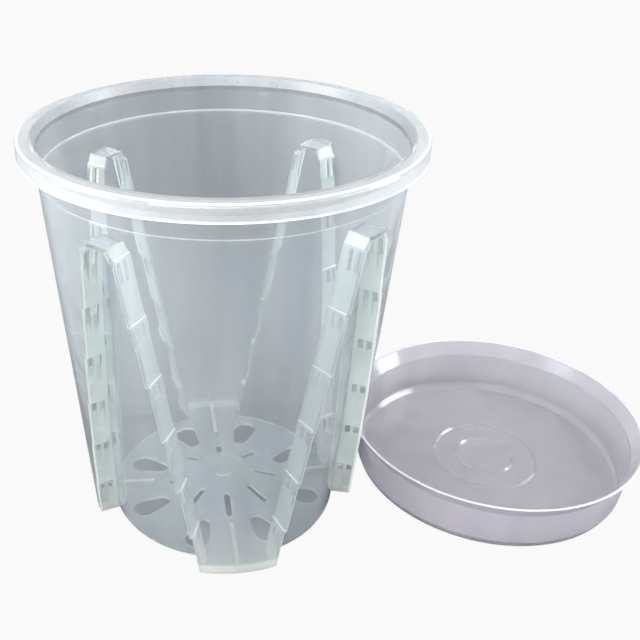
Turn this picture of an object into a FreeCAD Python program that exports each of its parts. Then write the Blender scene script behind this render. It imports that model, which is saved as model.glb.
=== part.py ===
import FreeCAD, Part

import math
import os

import Sketcher

# Orchid pot with slotted side walls, and its saucer, in millimetres.
# The pot stands on the plane of its four feet with its axis on +Z. The feet lie on +X, +Y, -X and -Y,
# and the saucer stands beside the pot on the same plane.

# Driving sizes: lengths in millimetres, angles in degrees.
SIZES = {
    # pot body
    "pot_height": 157.0,
    "foot_radius": 54.2,
    "mouth_radius": 65.0,
    "rim_overhang": 5.0,
    "wall": 1.1,
    "floor_wall": 1.4,
    # rim: a flange with a rounded edge and a skirt that hangs clear of the wall
    "flange_wall": 1.3,
    "skirt_wall": 1.2,
    "skirt_drop": 5.8,
    "bead_radius": 1.2,
    "lip_bevel_height": 3.2,
    "lip_bevel_width": 1.05,
    # stacking ring: a small step round the wall below the rim
    "ring_below_rim": 13.4,
    "ring_step": 0.45,
    "ring_rise": 0.5,
    # recesses between the feet, narrow under the cap and wide at the base
    "recess_depth": 8.0,
    "cap_below_rim": 23.0,
    "shoulder_drop": 3.4,
    "shoulder_width": 1.8,
    "recess_half_angle_base": 29.8,
    "recess_half_angle_top": 5.6,
    "ledge": 0.7,
    "row_run_under": 3.8,
    # slots in the side walls of the recesses
    "slot_height": 5.0,
    "slot_height_top": 7.0,
    "slot_gap": 1.3,
    "slot_inset": 1.6,
    # floor
    "dome_rise": 4.6,
    "floor_band": 21.7,
    "base_round": 1.6,
    "petal_dome_gap": 1.1,
    "petal_inner_round": 3.0,
    "petal_edge_gap": 4.7,
    "petal_outer_round": 4.9,
    "spoke_edge_gap": 1.2,
    "spoke_length": 10.3,
    "spoke_width": 2.6,
    "rib_dome_gap": 5.0,
    "rib_wall": 1.5,
    "rib_height": 2.6,
    "gate_radius": 3.6,
    "gate_height": 0.7,
    # saucer
    "saucer_foot_room": 1.2,
    "saucer_wall": 1.1,
    "saucer_height": 24.0,
    "saucer_draft": 1.3,
    "saucer_lip_width": 3.6,
    "saucer_lip_height": 6.0,
    "saucer_corner": 3.0,
    "saucer_ring_reach": 12.0,
    "saucer_ring_pitch": 10.0,
    "saucer_ring_width": 1.6,
    "saucer_ring_height": 0.8,
    "saucer_gap": 0.949,
    "saucer_north": 3.0,
    # working lengths
    "overrun": 2.0,
    "bite": 0.6,
}

FEET = 4
ROWS = 6
SLOTS_PER_ROW = 2
PETALS = 8
SPOKES = 8
SAUCER_RINGS = 2
HUB_SHARE = 0.8  # of the round body's radius at its foot
# A small round is two flat facets: their shared edge lies this share of the radius in from both faces.
FACET_SHARE = 1 - math.sqrt(0.5)
# The dome of the floor, from its edge to its crown: shares of its radius and of its rise.
DOME_SHARES = [(1.0, 0.0), (0.45, 1.0)]

doc = FreeCAD.newDocument("OrchidPot")
sheet = doc.addObject("Spreadsheet::Sheet", "Sizes")


class Size:
    """A number together with the sheet formula that gives it."""

    def __init__(self, number, formula):
        self.number = number
        self.formula = formula

    def __add__(self, other):
        other = as_size(other)
        return Size(self.number + other.number, f"({self.formula} + {other.formula})")

    def __sub__(self, other):
        other = as_size(other)
        return Size(self.number - other.number, f"({self.formula} - {other.formula})")

    def __mul__(self, other):
        other = as_size(other)
        return Size(self.number * other.number, f"({self.formula} * {other.formula})")

    def __truediv__(self, other):
        other = as_size(other)
        return Size(self.number / other.number, f"({self.formula} / {other.formula})")

    def __neg__(self):
        return Size(-self.number, f"(-1 * {self.formula})")


def as_size(value):
    """A plain count or share becomes a Size, so that both can meet in one sum."""
    if isinstance(value, Size):
        return value
    return Size(value, f"({value!r})")


def sine(angle):
    return Size(math.sin(math.radians(angle.number)), f"sin({angle.formula})")


def arc_length(angle, radius):
    """Length of the arc that an angle in degrees spans at a radius."""
    return Size(radius.number * math.radians(angle.number), f"({radius.formula} * {angle.formula} * pi / 180)")


ZERO = Size(0.0, "0")
for line, (word, number) in enumerate(SIZES.items(), start=1):
    sheet.set(f"A{line}", word)
    sheet.set(f"B{line}", str(number))
    sheet.setAlias(f"B{line}", word)
doc.recompute()
S = {word: Size(number, f"Sizes.{word}") for word, number in SIZES.items()}


def bind(thing, path, size):
    thing.setExpression(path, size.formula)


def origin_part(body, role):
    return next(part for part in body.Origin.OriginFeatures if part.Role == role)


def new_body(name):
    body = doc.addObject("PartDesign::Body", name)
    body.Label = name
    body.AllowCompound = True
    return body


def new_sketch(body, name, role, lift=None, turn=None, turn_axis=None):
    """A sketch on one of the body's origin planes, lifted off it or turned about one of its own axes."""
    sketch = body.newObject("Sketcher::SketchObject", name)
    sketch.AttachmentSupport = [(origin_part(body, role), "")]
    sketch.MapMode = "FlatFace"
    if turn is not None:
        sketch.AttachmentOffset = FreeCAD.Placement(FreeCAD.Vector(), FreeCAD.Rotation(turn_axis, turn.number))
        bind(sketch, ".AttachmentOffset.Rotation.Angle", turn)
    if lift is not None:
        bind(sketch, ".AttachmentOffset.Base.z", lift)
    return sketch


def stud(body, name, radius, foot, height):
    """An upright cylinder on the body's axis."""
    cylinder = body.newObject("PartDesign::AdditiveCylinder", name)
    cylinder.AttachmentSupport = [(origin_part(body, "XY_Plane"), "")]
    cylinder.MapMode = "FlatFace"
    bind(cylinder, ".AttachmentOffset.Base.z", foot)
    bind(cylinder, "Radius", radius)
    bind(cylinder, "Height", height)


def pin(sketch, edge, end, corner):
    """Hold one end of an edge at a place given by two sizes."""
    for kind, size in zip(("DistanceX", "DistanceY"), corner):
        index = sketch.addConstraint(Sketcher.Constraint(kind, -1, 1, edge, end, size.number))
        bind(sketch, f"Constraints[{index}]", size)


def draw(sketch, corners, arcs=None):
    """Close an outline through corners. arcs maps a corner's index to (centre, radius, left) of the arc
    that leaves it, where left says that the arc turns left."""
    arcs = arcs or {}
    first = sketch.GeometryCount
    ends = []
    for index, corner in enumerate(corners):
        begin = FreeCAD.Vector(corner[0].number, corner[1].number, 0)
        after = corners[(index + 1) % len(corners)]
        finish = FreeCAD.Vector(after[0].number, after[1].number, 0)
        if index not in arcs:
            sketch.addGeometry(Part.LineSegment(begin, finish))
            ends.append((1, 2))
            continue
        centre, radius, left = arcs[index]
        middle = FreeCAD.Vector(centre[0].number, centre[1].number, 0)
        low, high = (begin, finish) if left else (finish, begin)
        angles = [math.atan2(point.y - middle.y, point.x - middle.x) for point in (low, high)]
        circle = Part.Circle(middle, FreeCAD.Vector(0, 0, 1), radius.number)
        sketch.addGeometry(Part.ArcOfCircle(circle, *angles))
        ends.append((1, 2) if left else (2, 1))
    for index, corner in enumerate(corners):
        edge = first + index
        after = (index + 1) % len(corners)
        sketch.addConstraint(Sketcher.Constraint("Coincident", edge, ends[index][1], first + after, ends[after][0]))
    for index, corner in enumerate(corners):
        pin(sketch, first + index, ends[index][0], corner)
        if index in arcs:
            across = arcs[index][0][0]
            held = sketch.addConstraint(Sketcher.Constraint("DistanceX", -1, 1, first + index, 3, across.number))
            bind(sketch, f"Constraints[{held}]", across)


def turned(name, corners):
    """A body of revolution about Z from its half outline in the XZ plane."""
    body = new_body(name)
    sketch = new_sketch(body, f"{name}_outline", "XZ_Plane")
    draw(sketch, corners)
    solid = body.newObject("PartDesign::Revolution", f"{name}_turned")
    solid.Profile = sketch
    solid.ReferenceAxis = (sketch, ["V_Axis"])
    solid.Angle = 360
    return body


def boolean(kind, name, base, tool):
    result = doc.addObject(kind, name)
    result.Base = base
    result.Tool = tool
    return result


# The outer cone of the pot, and the round body behind the recesses.
def cone_radius(height):
    return S["foot_radius"] + (S["mouth_radius"] - S["foot_radius"]) * height / S["pot_height"]


def round_radius(height):
    return cone_radius(height) - S["recess_depth"]


def recess_half_angle(height):
    """Half the angle that a recess spans at a height, from its first ledge down to the feet."""
    fall = S["recess_half_angle_base"] - S["recess_half_angle_top"]
    return S["recess_half_angle_base"] - fall * height / FIRST_LEDGE


RIM_RADIUS = S["mouth_radius"] + S["rim_overhang"]
CAP_HEIGHT = S["pot_height"] - S["cap_below_rim"]
FIRST_LEDGE = CAP_HEIGHT - S["shoulder_drop"]
ROW_PITCH = (FIRST_LEDGE + S["row_run_under"]) / ROWS
RING_HEIGHT = S["pot_height"] - S["ring_below_rim"]
HALF_STEP = 180 / FEET
DOME_RADIUS = round_radius(ZERO) - S["floor_band"]
SLOT_WIDTH = (S["recess_depth"] - S["slot_inset"]) / SLOTS_PER_ROW - S["slot_gap"]


def ledge_height(row):
    return FIRST_LEDGE - ROW_PITCH * row


def row_angle(row):
    """Azimuth of a row's side wall, measured from its foot, at the middle of the row."""
    return as_size(HALF_STEP) - recess_half_angle(ledge_height(row) - ROW_PITCH / 2)


def row_travel(row):
    """How far a side wall leans across one row, without the ledge."""
    middle = ledge_height(row) - ROW_PITCH / 2
    fall = S["recess_half_angle_base"] - S["recess_half_angle_top"]
    return arc_length(fall * ROW_PITCH / FIRST_LEDGE, cone_radius(middle) - S["recess_depth"] / 2) - S["ledge"]


def rounded_base(radius_at, edge_round):
    """The start of a half outline: out along the ground and up round its edge."""
    edge = radius_at(edge_round)
    facet = edge_round * FACET_SHARE
    return [(ZERO, ZERO), (edge - edge_round, ZERO), (edge - facet, facet), (edge, edge_round)]


def pot_base(radius_at, inset):
    """The start of a half outline of the pot, or of a hollow, whose base is the floor's top with a sharp edge."""
    if inset is ZERO:
        return rounded_base(radius_at, S["base_round"])
    return [(ZERO, S["floor_wall"]), (radius_at(S["floor_wall"]) - inset, S["floor_wall"])]


def turned_wall(name, inset):
    """The pot's outer form with its stacking ring and rim, or the smooth hollow inside it."""
    corners = pot_base(cone_radius, inset)
    if inset is not ZERO:
        bevel_foot = S["pot_height"] - S["lip_bevel_height"]
        mouth = cone_radius(bevel_foot) - inset + S["lip_bevel_width"]
        corners += [
            (cone_radius(bevel_foot) - inset, bevel_foot),
            (mouth, S["pot_height"]),
            (mouth, S["pot_height"] + S["overrun"]),
            (ZERO, S["pot_height"] + S["overrun"]),
        ]
        return turned(name, corners)
    ring_top = RING_HEIGHT + S["ring_rise"]
    flange_under = S["pot_height"] - S["flange_wall"]
    skirt_foot = S["pot_height"] - S["skirt_drop"]
    skirt_inside = RIM_RADIUS - S["skirt_wall"]
    bead_foot = S["pot_height"] - S["bead_radius"]
    facet = S["bead_radius"] * FACET_SHARE
    corners += [
        (cone_radius(RING_HEIGHT), RING_HEIGHT),
        (cone_radius(ring_top) + S["ring_step"], ring_top),
        (cone_radius(flange_under) + S["ring_step"], flange_under),
        (skirt_inside, flange_under),
        (skirt_inside, skirt_foot),
        (RIM_RADIUS, skirt_foot),
        (RIM_RADIUS, bead_foot),
        (RIM_RADIUS - facet, S["pot_height"] - facet),
        (RIM_RADIUS - S["bead_radius"], S["pot_height"]),
        (ZERO, S["pot_height"]),
    ]
    return turned(name, corners)


def round_body(name, inset, top):
    """The round body between the feet with its domed floor, or the hollow inside it."""
    outline = pot_base(round_radius, inset)
    base = outline[0][1]
    dome = [(DOME_RADIUS * across, base + S["dome_rise"] * up) for across, up in reversed(DOME_SHARES)]
    corners = [(ZERO, dome[0][1])] + dome + outline[1:] + [(round_radius(top) - inset, top), (ZERO, top)]
    return turned(name, corners)


def recess_star(name, grow):
    """The four recesses on a hub. grow widens every face outwards by a wall, for the hollow's side."""
    body = new_body(name)
    top = CAP_HEIGHT + grow
    stud(body, f"{name}_hub", round_radius(ZERO) * HUB_SHARE, -S["row_run_under"], top + S["row_run_under"])
    pads = []
    for row in range(ROWS):
        high = ledge_height(row)
        low = ledge_height(row + 1)
        travel = row_travel(row)
        lean = travel / ROW_PITCH
        across = S["mouth_radius"] * sine(as_size(HALF_STEP) - row_angle(row))
        upper = high + grow
        corners = [
            (-travel / 2 - grow, low),
            (across, low),
            (across, upper),
            (travel / 2 + lean * grow - grow, upper),
        ]
        if row == 0:
            shoulder = travel / 2 + S["ledge"] - grow
            corners[2:] = [
                (across, top),
                (shoulder + S["shoulder_width"], top),
                (shoulder, upper),
                corners[3],
            ]
        if row == ROWS - 1 and grow is ZERO:
            edge = lean * (S["base_round"] - low) - travel / 2
            facet = S["base_round"] * FACET_SHARE
            corners[0] = (edge - S["base_round"], low)
            corners += [(edge, S["base_round"]), (edge - facet, facet), (edge - S["base_round"], ZERO)]
        sketch = new_sketch(body, f"{name}_row_{row}", "YZ_Plane", None, row_angle(row), FreeCAD.Vector(0, 1, 0))
        draw(sketch, corners)
        pad = body.newObject("PartDesign::Pad", f"{name}_wedge_{row}")
        pad.Profile = sketch
        bind(pad, "Length", RIM_RADIUS)
        pads.append(pad)
    repeat_round(body, name, pads, FEET, mirrored=True)
    return body


def repeat_round(body, name, features, count, mirrored=False):
    """Repeat features round the axis, first mirrored across a foot where both its sides carry them."""
    doc.recompute()
    polar = body.newObject("PartDesign::PolarPattern", f"{name}_round")
    polar.Axis = (origin_part(body, "Z_Axis"), [""])
    polar.Angle = 360
    polar.Occurrences = count
    if not mirrored:
        polar.Originals = features
        body.Tip = polar
        return polar
    mirror = body.newObject("PartDesign::Mirrored", f"{name}_mirrored")
    mirror.MirrorPlane = (origin_part(body, "XZ_Plane"), [""])
    both = body.newObject("PartDesign::MultiTransform", f"{name}_all")
    both.Originals = features
    both.Transformations = [mirror, polar]
    body.Tip = both
    return both


def pot_shell():
    """The pot as a moulded shell: its outer form less its hollow."""
    wall = S["wall"]
    star = recess_star("recesses", ZERO)
    wide_star = recess_star("recesses_wide", wall)
    sides = boolean("Part::Cut", "sides", turned_wall("cone", ZERO), star)
    core = round_body("core", ZERO, CAP_HEIGHT + S["bite"])
    outside = boolean("Part::Fuse", "outside", sides, core)
    side_hollow = boolean("Part::Cut", "side_hollow", turned_wall("cone_hollow", wall), wide_star)
    core_hollow = round_body("core_hollow", wall, CAP_HEIGHT + wall + S["bite"])
    hollow = boolean("Part::Fuse", "hollow", side_hollow, core_hollow)
    return boolean("Part::Cut", "shell", outside, hollow)


def egg(sketch, inner, inner_round, outer, outer_round):
    """An outline round two circles on the sketch's X axis, joined by their tangents."""
    lean = (outer_round - inner_round) / (outer - inner)
    flat = Size(math.sqrt(1 - lean.number ** 2), f"sqrt(1 - {lean.formula} ^ 2)")
    corners = [
        (inner - inner_round * lean, -inner_round * flat),
        (outer - outer_round * lean, -outer_round * flat),
        (outer - outer_round * lean, outer_round * flat),
        (inner - inner_round * lean, inner_round * flat),
    ]
    draw(sketch, corners, {1: ((outer, ZERO), outer_round, True), 3: ((inner, ZERO), inner_round, True)})


def chamfered_slot(sketch, inner, outer, half):
    """A narrow outline along the sketch's X axis with its four corners cut off."""
    cut = half * (FACET_SHARE * 2)
    side = half - cut
    draw(sketch, [
        (inner, -side),
        (inner + cut, -half),
        (outer - cut, -half),
        (outer, -side),
        (outer, side),
        (outer - cut, half),
        (inner + cut, half),
        (inner, side),
    ])


def floor_cut(body, name, sketch, depth, count):
    """A hole cut upwards through the floor, repeated round the axis."""
    cut = body.newObject("PartDesign::Pocket", f"{name}_cut")
    cut.Profile = sketch
    cut.Reversed = True
    bind(cut, "Length", depth)
    return repeat_round(body, name, [cut], count)


def cut_floor(body):
    """Petal holes and narrow radial slots in the floor."""
    depth = S["floor_wall"] + S["dome_rise"] + S["overrun"] * 2
    upright = FreeCAD.Vector(0, 0, 1)
    sketch = new_sketch(body, "petal", "XY_Plane", -S["overrun"], as_size(180 / PETALS), upright)
    inner = DOME_RADIUS + S["petal_dome_gap"] + S["petal_inner_round"]
    outer = round_radius(ZERO) - S["petal_edge_gap"] - S["petal_outer_round"]
    egg(sketch, inner, S["petal_inner_round"], outer, S["petal_outer_round"])
    floor_cut(body, "petals", sketch, depth, PETALS)
    sketch = new_sketch(body, "spoke", "XY_Plane", -S["overrun"])
    outer = DOME_RADIUS - S["spoke_edge_gap"]
    chamfered_slot(sketch, outer - S["spoke_length"], outer, S["spoke_width"] / 2)
    floor_cut(body, "spokes", sketch, depth, SPOKES)


def cut_side_slots(body):
    """Upright grooves under each ledge. A groove is deepest at its ledge, where it breaks through the wall
    as a slot, and runs out further down, where the leaning wall meets its floor."""
    upright = FreeCAD.Vector(0, 0, 1)
    cuts = []
    for row in range(ROWS):
        travel = row_travel(row)
        lean = travel / ROW_PITCH
        opening = S["slot_height"] if row else S["slot_height_top"]
        depth = S["wall"] + opening * lean
        face = travel / 2
        sketch = new_sketch(body, f"slots_{row}", "XY_Plane", ledge_height(row), row_angle(row), upright)
        for slot in range(SLOTS_PER_ROW):
            outer = cone_radius(ledge_height(row)) - S["slot_inset"] - (SLOT_WIDTH + S["slot_gap"]) * slot
            inner = outer - SLOT_WIDTH
            draw(sketch, [
                (inner, face - depth),
                (outer, face - depth),
                (outer, face + S["ledge"] + S["bite"]),
                (inner, face + S["ledge"] + S["bite"]),
            ])
        cut = body.newObject("PartDesign::Pocket", f"slots_{row}_cut")
        cut.Profile = sketch
        bind(cut, "Length", depth / lean + S["bite"])
        cuts.append(cut)
    repeat_round(body, "side_slots", cuts, FEET, mirrored=True)


def add_floor_ribs(body):
    """A low rib along the middle of each foot, from the floor's petals out to the foot's wall."""
    sketch = new_sketch(body, "rib", "XY_Plane", S["floor_wall"] / 2)
    reach = cone_radius(ZERO) - S["wall"] / 2
    half = S["rib_wall"] / 2
    start = DOME_RADIUS + S["rib_dome_gap"]
    draw(sketch, [(start, -half), (reach, -half), (reach, half), (start, half)])
    pad = body.newObject("PartDesign::Pad", "rib_pad")
    pad.Profile = sketch
    bind(pad, "Length", S["rib_height"] + S["floor_wall"] / 2)
    repeat_round(body, "ribs", [pad], FEET)


def add_gate_mark(body):
    """The moulding gate's round mark on the crown of the floor."""
    half = S["floor_wall"] / 2
    stud(body, "gate_mark", S["gate_radius"], S["dome_rise"] + half, S["gate_height"] + half)


def make_pot():
    shell = pot_shell()
    doc.recompute()
    body = new_body("pot")
    body.BaseFeature = shell
    doc.recompute()
    add_gate_mark(body)
    add_floor_ribs(body)
    cut_floor(body)
    cut_side_slots(body)
    return body


def make_saucer():
    """A shallow dish that takes the pot's feet, with a flared lip and low rings on its floor."""
    wall = S["saucer_wall"]
    floor_radius = S["foot_radius"] + S["saucer_foot_room"]
    lip_foot = S["saucer_height"] - S["saucer_lip_height"]

    def side_radius(height):
        return floor_radius + wall + S["saucer_draft"] * height / lip_foot

    under_lip = side_radius(lip_foot)
    lip_radius = under_lip + S["saucer_lip_width"]
    inner_edge = side_radius(S["saucer_corner"]) - wall
    corners = rounded_base(side_radius, S["saucer_corner"]) + [
        (under_lip, lip_foot),
        (lip_radius, S["saucer_height"]),
        (lip_radius - wall, S["saucer_height"]),
        (under_lip - wall, lip_foot + wall / 2),
        (inner_edge, S["saucer_corner"]),
        (inner_edge - (S["saucer_corner"] - wall), wall),
    ]
    half = S["saucer_ring_width"] / 2
    top = wall + S["saucer_ring_height"]
    for ring in reversed(range(SAUCER_RINGS)):
        middle = S["saucer_ring_reach"] + S["saucer_ring_pitch"] * ring
        corners += [(middle + half, wall), (middle, top), (middle - half, wall)]
    corners.append((ZERO, wall))
    body = turned("saucer", corners)
    bind(body, ".Placement.Base.x", cone_radius(S["saucer_height"]) + S["saucer_gap"] + lip_radius)
    bind(body, ".Placement.Base.y", S["saucer_north"])
    return body


parts = [make_pot(), make_saucer()]
doc.recompute()
for thing in doc.Objects:
    if "Invalid" in thing.State or "Error" in thing.State:
        raise RuntimeError(f"{thing.Label} failed: {thing.State}")
for part in parts:
    if part.Shape.isNull() or not part.Shape.isValid():
        raise RuntimeError(f"{part.Label} has no valid shape")
os.makedirs("parts", exist_ok=True)
for part in parts:
    part.Shape.exportStep(f"parts/{part.Label}.step")
    print(part.Label, len(part.Shape.Solids), "solids,", round(part.Shape.Volume, 1), "mm3")
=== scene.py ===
import math

import bpy
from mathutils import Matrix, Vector


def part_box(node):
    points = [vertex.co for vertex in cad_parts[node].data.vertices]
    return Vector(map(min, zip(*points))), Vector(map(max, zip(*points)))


# Studio view of the clear orchid pot and its saucer. Lengths are in metres and angles in degrees. The pot's axis is
# the Z axis: a place's reach is how far it lies from there, and its height is how far it lies above the ground.

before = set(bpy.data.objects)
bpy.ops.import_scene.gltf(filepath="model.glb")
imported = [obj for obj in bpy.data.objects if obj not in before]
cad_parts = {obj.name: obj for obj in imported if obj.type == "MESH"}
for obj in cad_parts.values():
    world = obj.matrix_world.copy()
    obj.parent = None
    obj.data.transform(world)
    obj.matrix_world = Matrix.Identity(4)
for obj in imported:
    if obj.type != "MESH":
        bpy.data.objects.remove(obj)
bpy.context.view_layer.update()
scene = bpy.context.scene

POT_LOW, POT_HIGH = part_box("pot")
SAUCER_LOW, SAUCER_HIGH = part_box("saucer")
SAUCER_MIDDLE = (SAUCER_LOW + SAUCER_HIGH) / 2
SAUCER_RADIUS = (SAUCER_HIGH.x - SAUCER_LOW.x) / 2
POT_HEIGHT = POT_HIGH.z - POT_LOW.z


# Helpers that build materials from nodes.

def plug(tree, socket, value):
    """Gives a socket its value: another node's output, a number, or a colour without its alpha."""
    if isinstance(value, bpy.types.NodeSocket):
        tree.links.new(value, socket)
    elif socket.type == "RGBA":
        socket.default_value = (*value, 1.0)
    else:
        socket.default_value = value


def add_node(tree, kind, output, inputs=None, **settings):
    """Adds a node with its settings and inputs, by name or number, and returns one of its outputs."""
    node = tree.nodes.new(kind)
    for name, value in settings.items():
        setattr(node, name, value)
    for name, value in (inputs or {}).items():
        plug(tree, node.inputs[name], value)
    return node.outputs[output]


def new_material(name):
    """A material with one main shader. Returns it with its nodes and the shader."""
    material = bpy.data.materials.new(name)
    material.use_nodes = True
    tree = material.node_tree
    tree.nodes.clear()
    shader = tree.nodes.new("ShaderNodeBsdfPrincipled")
    surface = tree.nodes.new("ShaderNodeOutputMaterial").inputs["Surface"]
    plug(tree, surface, shader.outputs["BSDF"])
    return material, tree, shader


def position(tree):
    """The place on the object, in metres along the object's own axes."""
    return add_node(tree, "ShaderNodeTexCoord", "Object")


def stretched(tree, factors):
    """The place with each axis multiplied by its own factor."""
    return add_node(tree, "ShaderNodeMapping", "Vector", {"Vector": position(tree), "Scale": factors})


def noise(tree, scale, detail, stretch=(1.0, 1.0, 1.0)):
    """A noise pattern over the object. The larger the scale, the finer it is."""
    return add_node(tree, "ShaderNodeTexNoise", "Fac",
                    {"Vector": stretched(tree, stretch), "Scale": scale, "Detail": detail})


def ramp(tree, value, start, end, low=0.0, high=1.0):
    """Goes from low to high as the value goes from start to end, and stays level beyond them."""
    return add_node(tree, "ShaderNodeMapRange", "Result",
                    {"Value": value, "From Min": start, "From Max": end, "To Min": low, "To Max": high})


NOISE_LOW, NOISE_HIGH = 0.3, 0.7


def spread(tree, pattern, low, high):
    """Stretches the middle range of a noise pattern over low to high."""
    return ramp(tree, pattern, NOISE_LOW, NOISE_HIGH, low, high)


def blend_colours(tree, share, first, second):
    return add_node(tree, "ShaderNodeMix", "Result", {"Factor": share, "A": first, "B": second}, data_type="RGBA")


def product(tree, first, second):
    return add_node(tree, "ShaderNodeMath", "Value", {0: first, 1: second}, operation="MULTIPLY")


def reach(tree):
    return add_node(tree, "ShaderNodeVectorMath", "Value", {0: stretched(tree, (1.0, 1.0, 0.0))}, operation="LENGTH")


def height(tree):
    return add_node(tree, "ShaderNodeVectorMath", "Value", {0: stretched(tree, (0.0, 0.0, 1.0))}, operation="LENGTH")


def reach_at_base(tree):
    """The reach that a place has once it is slid down to the base along the leaning wall."""
    return add_node(tree, "ShaderNodeMath", "Value", {0: height(tree), 1: -WALL_LEAN, 2: reach(tree)},
                    operation="MULTIPLY_ADD")


# The pot's zones: heights, reaches, and half the width of a line on either side of its middle.

RIM_FOOT = POT_HIGH.z - 0.0062
RING_MIDDLE = POT_HIGH.z - 0.01315
RING_BAND = 0.0008
CAP_FOOT = 0.132
CAP_SLANT_FOOT = CAP_FOOT - 0.002
FLOOR_TOP = 0.009
FLOOR_UPPER = 0.0017
BASE_ROUND = 0.0018
RIB_START = 0.028
RIB_HALF = 0.0009
BEVEL_INSIDE = 0.0655
RECESS_INSIDE = 0.0445
FOOT_RADIUS = 0.0542
MOUTH_RADIUS = 0.0650
WALL_LEAN = (MOUTH_RADIUS - FOOT_RADIUS) / POT_HEIGHT
SAUCER_LIP = 0.0013

# How much of a face's normal points up or down, or sideways round the pot, where its zone hangs on that.
LEVEL = 0.9
FLAT = 0.5
SLANTED = 0.3
SIDEWAYS = 0.6

CLEAR, CLOUDY, RIM, FLOOR, EDGE, BEVEL, SKIRT, CAP = range(8)


def zone(face):
    """Which of the pot's plastics a face has. The edge plastic is whitened and nearly opaque, a painted highlight on
    the ledges, steps, cut edges and bottom rounds, and the bevel plastic is dark grey, a painted shade inside the
    rim.
    """
    place, normal = face.center, face.normal
    distance = math.hypot(place.x, place.y)
    level = abs(normal.z) > LEVEL
    flat = abs(normal.z) > FLAT
    if place.z > RIM_FOOT:
        if level and place.z < RIM_FOOT + RING_BAND:
            return EDGE
        if flat:
            return RIM
        # The rim's inner bevel gets a painted shade: a dark grey, nearly opaque plastic.
        return BEVEL if distance < BEVEL_INSIDE else SKIRT
    if abs(place.z - RING_MIDDLE) < RING_BAND and normal.z < -SLANTED:
        return EDGE
    on_rib_line = min(abs(place.x), abs(place.y)) < RIB_HALF
    if FLOOR_UPPER < place.z < FLOOR_TOP and distance > RIB_START and on_rib_line:
        return CAP
    if place.z < FLOOR_TOP and (level or distance < RECESS_INSIDE):
        return FLOOR if flat else EDGE
    if place.z < BASE_ROUND:
        return EDGE
    if level:
        return EDGE if place.z < CAP_FOOT else CLEAR
    if place.z > CAP_SLANT_FOOT and normal.z > SLANTED:
        return CAP
    round_the_pot = abs(normal.y * place.x - normal.x * place.y) / distance
    return CLOUDY if round_the_pot > SIDEWAYS else CLEAR


# Plastics. Each has its name, its colour in the clear streaks and in the cloudy ones, the share of the light that
# goes through it, its roughness and the height of its flow marks.

POT_PLASTICS = {
    CLEAR: ("pot_clear_plastic", (0.755, 0.80, 0.83), (0.88, 0.91, 0.93), 0.88, 0.03, 0.0002),
    CLOUDY: ("pot_cloudy_plastic", (0.88, 0.96, 0.93), (0.94, 1.00, 0.97), 0.60, 0.12, 0.0003),
    RIM: ("pot_rim_plastic", (0.88, 0.905, 0.915), (0.93, 0.95, 0.955), 0.82, 0.12, 0.00003),
    FLOOR: ("pot_floor_plastic", (0.51, 0.57, 0.60), (0.60, 0.66, 0.68), 0.71, 0.17, 0.0002),
    # Painted highlight: the edge plastic is a whitened, nearly opaque copy of the clear plastic.
    EDGE: ("pot_edge_highlight_plastic", (0.93, 0.96, 0.95), (0.98, 0.99, 0.98), 0.25, 0.20, 0.0002),
    # Painted shade: the rim's inner bevel is a dark grey, nearly opaque copy of the rim plastic.
    BEVEL: ("pot_bevel_shade_plastic", (0.26, 0.27, 0.285), (0.31, 0.32, 0.335), 0.12, 0.35, 0.00001),
    SKIRT: ("pot_skirt_plastic", (0.94, 0.965, 0.97), (0.98, 0.99, 0.99), 0.78, 0.12, 0.00003),
    CAP: ("pot_cap_plastic", (0.88, 0.90, 0.82), (0.95, 0.96, 0.88), 0.68, 0.14, 0.0002),
}
SAUCER_PLASTICS = (
    ("saucer_clear_plastic", (0.86, 0.83, 0.89), (0.93, 0.90, 0.95), 0.86, 0.16, 0.0003),
    ("saucer_lip_plastic", (0.80, 0.79, 0.84), (0.88, 0.87, 0.91), 0.60, 0.20, 0.0002),
)
DISH, LIP = range(2)

# The patterns in every plastic: size and detail of the noise, and its stretch where that isn't even.
STREAK_SCALE, STREAK_DETAIL, STREAK_STRETCH = 110.0, 2.0, (1.0, 1.0, 0.04)
GRAIN_SCALE, GRAIN_DETAIL = 900.0, 2.0
FLOW_SCALE, FLOW_DETAIL, FLOW_STRETCH = 60.0, 4.0, (1.0, 1.0, 0.25)
FLOW_STRENGTH = 0.35
SMOOTHEST, ROUGHEST = 0.7, 1.4
REFRACTIVE_INDEX = 1.49


def clear_plastic(name, clear, cloudy, transmission, roughness, flow_height):
    """Thin moulded polypropylene: nearly clear, with upright streaks and shallow flow marks from the mould."""
    material, tree, shader = new_material(name)
    streaks = spread(tree, noise(tree, STREAK_SCALE, STREAK_DETAIL, STREAK_STRETCH), 0.0, 1.0)
    grain = noise(tree, GRAIN_SCALE, GRAIN_DETAIL)
    flow = noise(tree, FLOW_SCALE, FLOW_DETAIL, FLOW_STRETCH)
    bump = add_node(tree, "ShaderNodeBump", "Normal",
                    {"Height": flow, "Strength": FLOW_STRENGTH, "Distance": flow_height})
    plug(tree, shader.inputs["Base Color"], blend_colours(tree, streaks, clear, cloudy))
    plug(tree, shader.inputs["Roughness"], spread(tree, grain, roughness * SMOOTHEST, roughness * ROUGHEST))
    plug(tree, shader.inputs["IOR"], REFRACTIVE_INDEX)
    plug(tree, shader.inputs["Transmission Weight"], transmission)
    plug(tree, shader.inputs["Normal"], bump)
    return material


# Painted light, drawn within a plastic: painted highlights along the rim, the skirt, the ring step, the recess
# corners and the feet's bottom edges, and the outer wall painted lighter low down. A place is one or more ramps that
# are
# multiplied: what each measures, where it is 0 and where it is 1.

FOOT_REACH = (reach, 0.049, 0.052)
# Painted light: the outer wall is paler and less clear over its lowest few centimetres.
FEET = (FOOT_REACH, (height, 0.036, 0.0))
# Painted highlight: a creamy band along the bottom edges of the feet.
FOOT_EDGES = (FOOT_REACH, (height, 0.0060, 0.0045))
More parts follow.
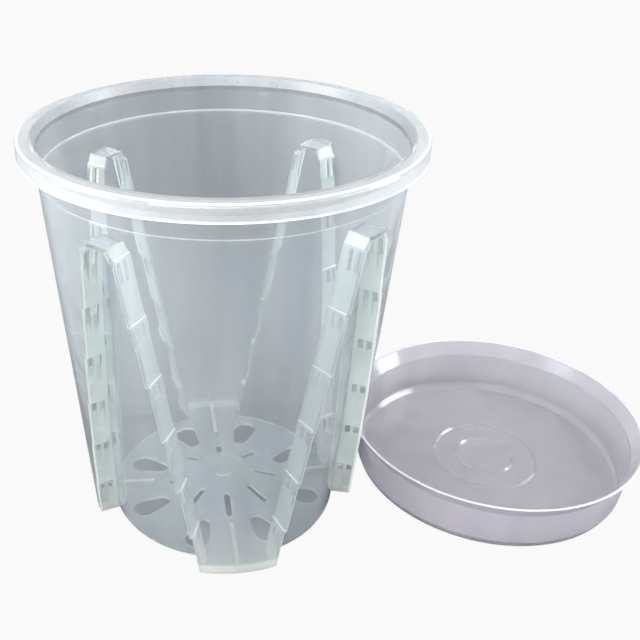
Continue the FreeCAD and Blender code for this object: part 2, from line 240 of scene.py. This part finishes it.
# Painted highlight: a pale line along the ring step below the rim.
RING_LINE = (
    (height, RING_MIDDLE - 0.0009, RING_MIDDLE - 0.0005),
    (height, RING_MIDDLE + 0.0004, RING_MIDDLE + 0.0001),
)
# Painted highlight: a pale line down the outer corners of the recesses.
RECESS_CORNERS = ((reach_at_base, FOOT_RADIUS - 0.0010, FOOT_RADIUS - 0.0007),)
# Painted highlights: a white line round the rim's top edge and another along the foot of its skirt.
RIM_LINE = ((reach, 0.0686, 0.0690),)
SKIRT_LINE = ((height, RIM_FOOT + 0.0011, RIM_FOOT + 0.0007),)

# The plastic that a painted light lies in, the place, its colour and the share of the light that goes through it.
PAINTED_LIGHT_PLACES = (
    (CLEAR, FEET, (0.93, 0.95, 0.95), 0.74),
    (CLEAR, FOOT_EDGES, (0.97, 0.98, 0.92), 0.58),
    (CLEAR, RING_LINE, (0.90, 0.93, 0.94), 0.80),
    (CLOUDY, FEET, (0.93, 0.95, 0.95), 0.74),
    (CLOUDY, FOOT_EDGES, (0.97, 0.98, 0.92), 0.58),
    (CLOUDY, RECESS_CORNERS, (0.97, 0.99, 0.97), 0.25),
    (RIM, RIM_LINE, (1.0, 1.0, 1.0), 0.62),
    (SKIRT, SKIRT_LINE, (1.0, 1.0, 1.0), 0.10),
)


def paint_light(material, place, colour, transmission):
    """Paints light: where all the ramps of the place are 1, the plastic turns to the place's paler colour and lets
    less light through.
    """
    tree = material.node_tree
    shader = next(node for node in tree.nodes if node.type == "BSDF_PRINCIPLED")
    share, *others = [ramp(tree, measure(tree), start, end) for measure, start, end in place]
    for other in others:
        share = product(tree, share, other)
    tint = shader.inputs["Base Color"]
    clarity = shader.inputs["Transmission Weight"]
    clarity_elsewhere = clarity.links[0].from_socket if clarity.links else clarity.default_value
    plug(tree, tint, blend_colours(tree, share, tint.links[0].from_socket, colour))
    plug(tree, clarity, ramp(tree, share, 0.0, 1.0, clarity_elsewhere, transmission))


SHARP_EDGE = 50.0


def finish_piece(piece, plastics, choose):
    """Gives a piece its plastics, chosen face by face. Curves shade smoothly and crisp edges stay crisp."""
    mesh = piece.data
    mesh.materials.clear()
    for plastic in plastics:
        mesh.materials.append(plastic)
    for face in mesh.polygons:
        face.material_index = choose(face)
        face.use_smooth = True
    mesh.set_sharp_from_angle(angle=math.radians(SHARP_EDGE))


def finish_pot():
    plastics = [clear_plastic(*values) for values in POT_PLASTICS.values()]
    for plastic, *painted_light in PAINTED_LIGHT_PLACES:
        paint_light(plastics[plastic], *painted_light)
    finish_piece(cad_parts["pot"], plastics, zone)


def finish_saucer():
    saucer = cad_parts["saucer"]
    corners = saucer.data.vertices

    def dish_or_lip(face):
        nearest = min((corners[index].co - SAUCER_MIDDLE).to_2d().length for index in face.vertices)
        return LIP if nearest > SAUCER_RADIUS - SAUCER_LIP else DISH

    finish_piece(saucer, [clear_plastic(*values) for values in SAUCER_PLASTICS], dish_or_lip)


# Surroundings. Seen directly, the floor and the backdrop are nearly white. In the plastic they show as the grey of a
# studio, darker under the pot. Pale cards lie on both sides of the pot and lighten its flanks.

WHITE = (1.0, 1.0, 1.0)
WHITE_STRENGTH = 0.95
FLOOR_REACH = 6.0
FLOOR_DROP = 0.0004
FLOOR_ROUGHNESS = 0.8
FLOOR_GREY = (0.105, 0.11, 0.113)
CARD_GREY = (0.30, 0.31, 0.315)
CARD_START, CARD_END = 0.09, 0.28
SHADE_GREY = (0.05, 0.055, 0.06)
SHADE_END, SHADE_FADED = 0.036, 0.056
STUDIO_COLOUR = (0.80, 0.88, 0.95)
STUDIO_STRENGTH = 0.55


def show_white(tree, white_kind, surface, output):
    """Camera rays meet plain white, and all other rays meet the surface."""
    white = add_node(tree, white_kind, 0, {"Color": WHITE, "Strength": WHITE_STRENGTH})
    seen = add_node(tree, "ShaderNodeLightPath", "Is Camera Ray")
    plug(tree, output, add_node(tree, "ShaderNodeMixShader", "Shader", {"Fac": seen, 1: surface, 2: white}))


def add_floor():
    mesh = bpy.data.meshes.new("floor")
    corners = [(x * FLOOR_REACH, y * FLOOR_REACH, -FLOOR_DROP) for x, y in ((-1, -1), (1, -1), (1, 1), (-1, 1))]
    mesh.from_pydata(corners, [], [(0, 1, 2, 3)])
    floor = bpy.data.objects.new("floor", mesh)
    scene.collection.objects.link(floor)
    material, tree, shader = new_material("floor_paper")
    side = add_node(tree, "ShaderNodeSeparateXYZ", "X", {"Vector": position(tree)})
    aside = add_node(tree, "ShaderNodeMath", "Value", {0: side}, operation="ABSOLUTE")
    grey = blend_colours(tree, ramp(tree, aside, CARD_START, CARD_END), FLOOR_GREY, CARD_GREY)
    # Painted shadow: the floor's grey darkens to the shade grey close under the pot.
    shaded = blend_colours(tree, ramp(tree, reach(tree), SHADE_END, SHADE_FADED), SHADE_GREY, grey)
    plug(tree, shader.inputs["Base Color"], shaded)
    plug(tree, shader.inputs["Roughness"], FLOOR_ROUGHNESS)
    output = next(node for node in tree.nodes if node.type == "OUTPUT_MATERIAL")
    show_white(tree, "ShaderNodeEmission", shader.outputs["BSDF"], output.inputs["Surface"])
    mesh.materials.append(material)


def add_world():
    world = bpy.data.worlds.new("studio")
    world.use_nodes = True
    tree = world.node_tree
    light = tree.nodes["Background"]
    plug(tree, light.inputs["Color"], STUDIO_COLOUR)
    plug(tree, light.inputs["Strength"], STUDIO_STRENGTH)
    output = tree.nodes["World Output"]
    show_white(tree, "ShaderNodeBackground", light.outputs["Background"], output.inputs["Surface"])
    scene.world = world


# Softboxes: name, place, width and height, and power in watts. All of them face the middle of the pot.

SOFTBOXES = (
    ("softbox_left", (-0.9, -0.2, 0.55), (0.5, 0.9), 16.0),
    ("softbox_right", (0.9, -0.1, 0.6), (0.4, 0.9), 14.0),
    ("softbox_front", (-0.35, -1.0, 0.30), (0.9, 0.5), 7.5),
    ("softbox_top", (0.05, -0.2, 1.2), (0.6, 0.6), 16.0),
)


def add_softbox(name, place, size, power):
    light = bpy.data.lights.new(name, "AREA")
    light.shape = "RECTANGLE"
    light.size, light.size_y = size
    light.energy = power
    lamp = bpy.data.objects.new(name, light)
    lamp.location = place
    facing = Vector((0.0, 0.0, POT_HEIGHT / 2)) - Vector(place)
    lamp.rotation_euler = facing.to_track_quat("-Z", "Y").to_euler()
    scene.collection.objects.link(lamp)


# Camera: the view fitted to the photograph, which is 640 pixels square.

PHOTO_WIDTH = 640.0
FOCAL_PIXELS = 859.08
AXIS_PIXEL_X = 223.09
CAMERA_DISTANCE = 0.28683
CAMERA_HEIGHT = 0.24691
CAMERA_AZIMUTH = -96.3
CAMERA_PITCH = 30.14
RIGHT_ANGLE = 90.0
SENSOR_MILLIMETRES = 36.0
NEAREST, FARTHEST = 0.01, 50.0


def add_camera():
    data = bpy.data.cameras.new("camera")
    data.sensor_width = SENSOR_MILLIMETRES
    data.lens = FOCAL_PIXELS / PHOTO_WIDTH * data.sensor_width
    data.shift_x = (PHOTO_WIDTH / 2 - AXIS_PIXEL_X) / PHOTO_WIDTH
    data.clip_start, data.clip_end = NEAREST, FARTHEST
    camera = bpy.data.objects.new("camera", data)
    azimuth = math.radians(CAMERA_AZIMUTH)
    camera.location = (CAMERA_DISTANCE * math.cos(azimuth), CAMERA_DISTANCE * math.sin(azimuth), CAMERA_HEIGHT)
    camera.rotation_euler = (math.radians(RIGHT_ANGLE - CAMERA_PITCH), 0.0, azimuth + math.radians(RIGHT_ANGLE))
    scene.collection.objects.link(camera)
    scene.camera = camera


finish_pot()
finish_saucer()
add_floor()
add_world()
for softbox in SOFTBOXES:
    add_softbox(*softbox)
add_camera()

scene.view_settings.view_transform = "Standard"
# Light crosses many walls of the pot before it reaches the eye.
scene.cycles.max_bounces = 24
scene.cycles.transmission_bounces = 24
scene.cycles.transparent_max_bounces = 16
scene.cycles.sample_clamp_indirect = 6.0
